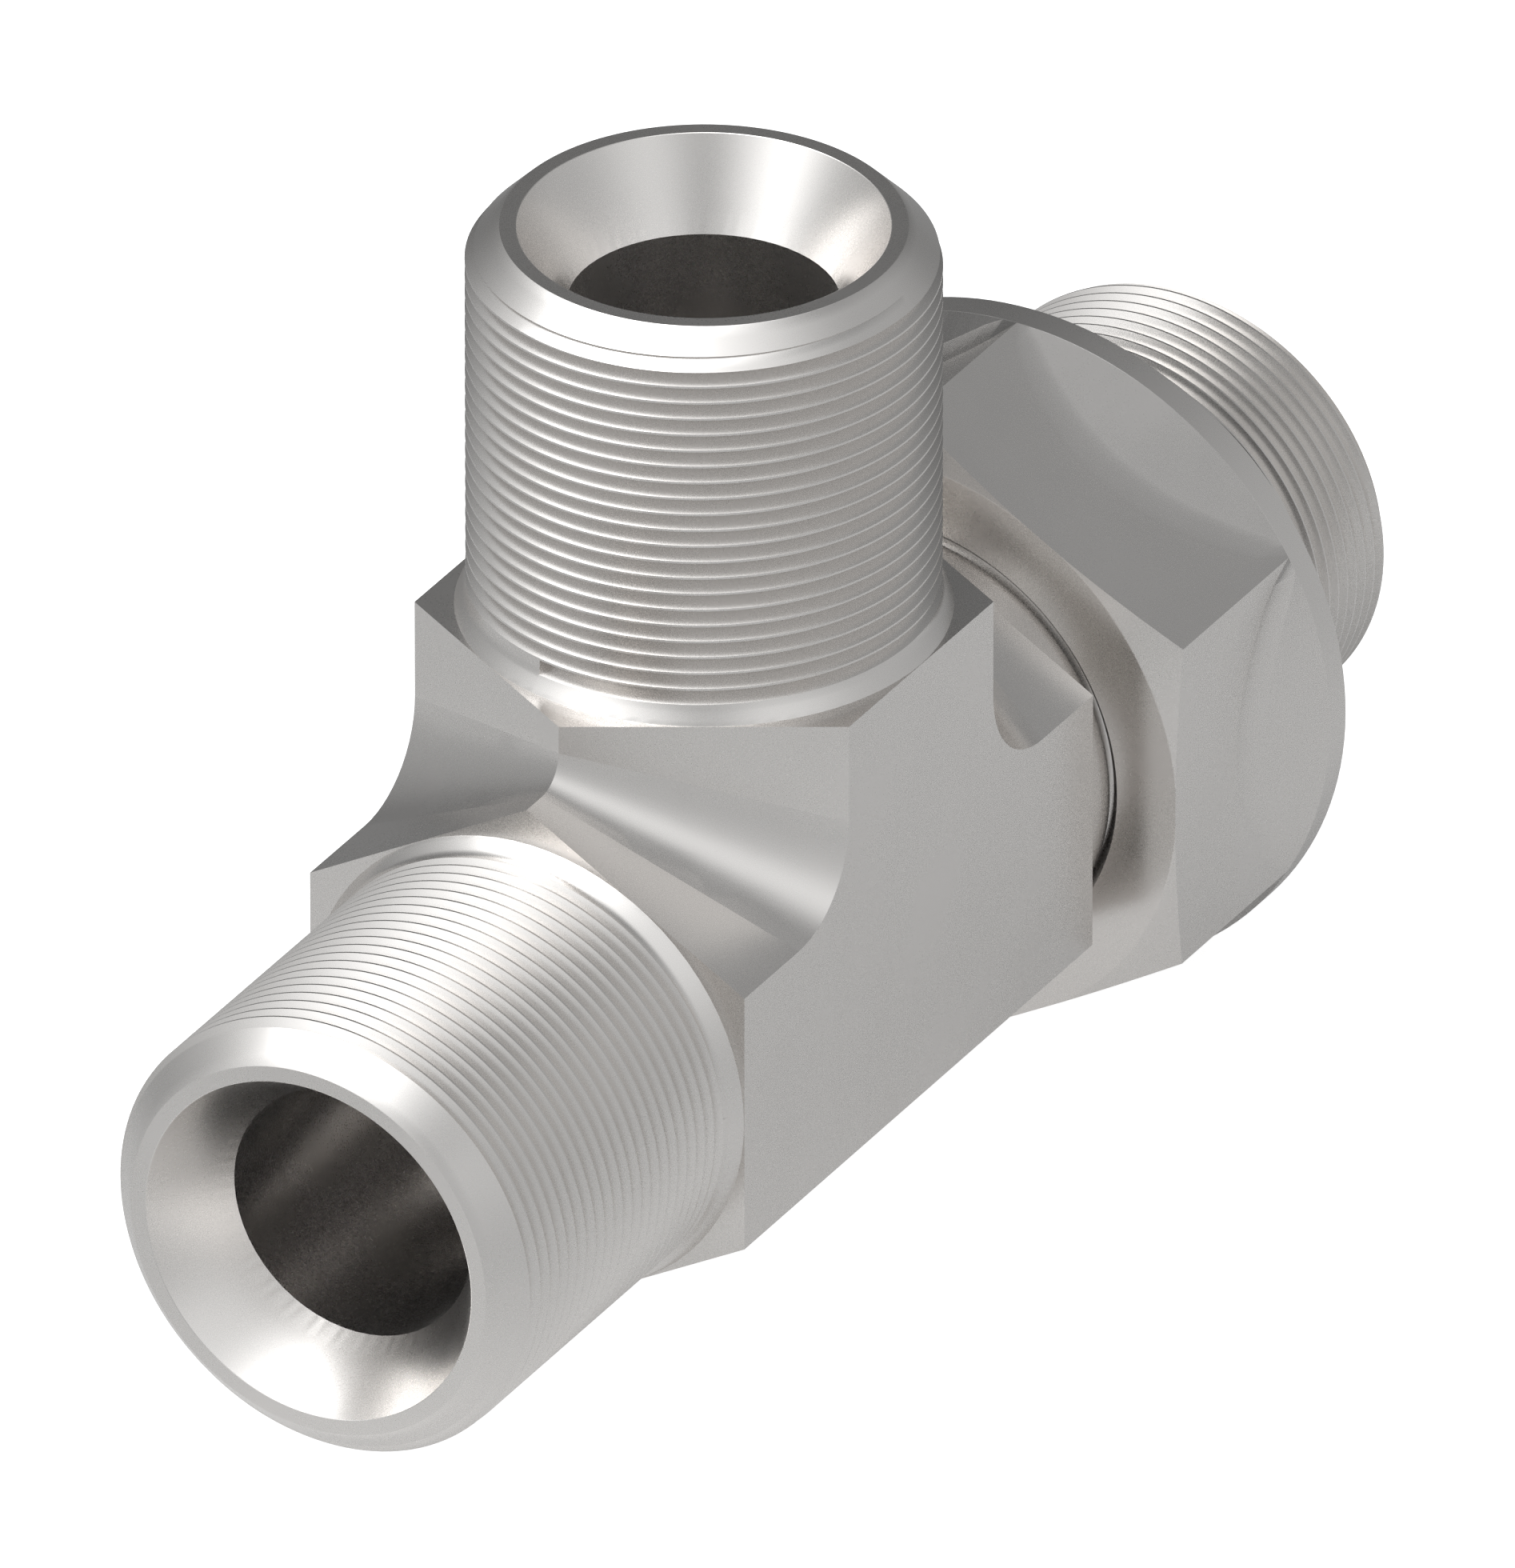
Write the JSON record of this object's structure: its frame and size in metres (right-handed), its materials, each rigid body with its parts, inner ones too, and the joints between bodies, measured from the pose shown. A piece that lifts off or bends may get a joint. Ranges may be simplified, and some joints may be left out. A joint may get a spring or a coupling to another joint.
{
  "type": "tee adapter",
  "caption": "Run tee adapter for hydraulic lines: coned male ends in line and at the branch, and an adjustable port stud with a flanged lock nut, retaining ring and seal.",
  "frame": {"origin": "where the axis of the run crosses the axis of the branch, inside the block", "axes": "+Y along the run, out of the port stud; +Z along the branch, out of its male end; the block's wide flats face +X and -X"},
  "size_m": [0.032, 0.0775, 0.0505],
  "materials": {
    "plated_steel": "satin nickel-coloured plating on machined steel",
    "plated_nut_steel": "satin nickel-coloured plating on drawn hexagon bar",
    "plated_ring_steel": "satin nickel-coloured plating on turned steel",
    "seal_rubber": "black nitrile rubber"
  },
  "bodies": {
    "tee": {"tee_body": "plated_steel"},
    "seal_carrier": {"retaining_ring": "plated_ring_steel", "o_ring": "seal_rubber"},
    "nut": {"lock_nut": "plated_nut_steel"}
  },
  "joints": [
    {"name": "ring_slide", "type": "slide", "parent": "tee", "child": "seal_carrier", "axis": [0, 1, 0], "range_m": [0, 0.00181]},
    {"name": "nut_turn", "type": "hinge", "parent": "seal_carrier", "child": "nut", "pos_m": [0, 0.0233, 0], "axis": [0, 1, 0], "range_deg": [0, 360]}
  ],
  "couplings": [
    {"joint": "ring_slide", "follows": "nut_turn", "m_per_rad": 0.0002887}
  ]
}
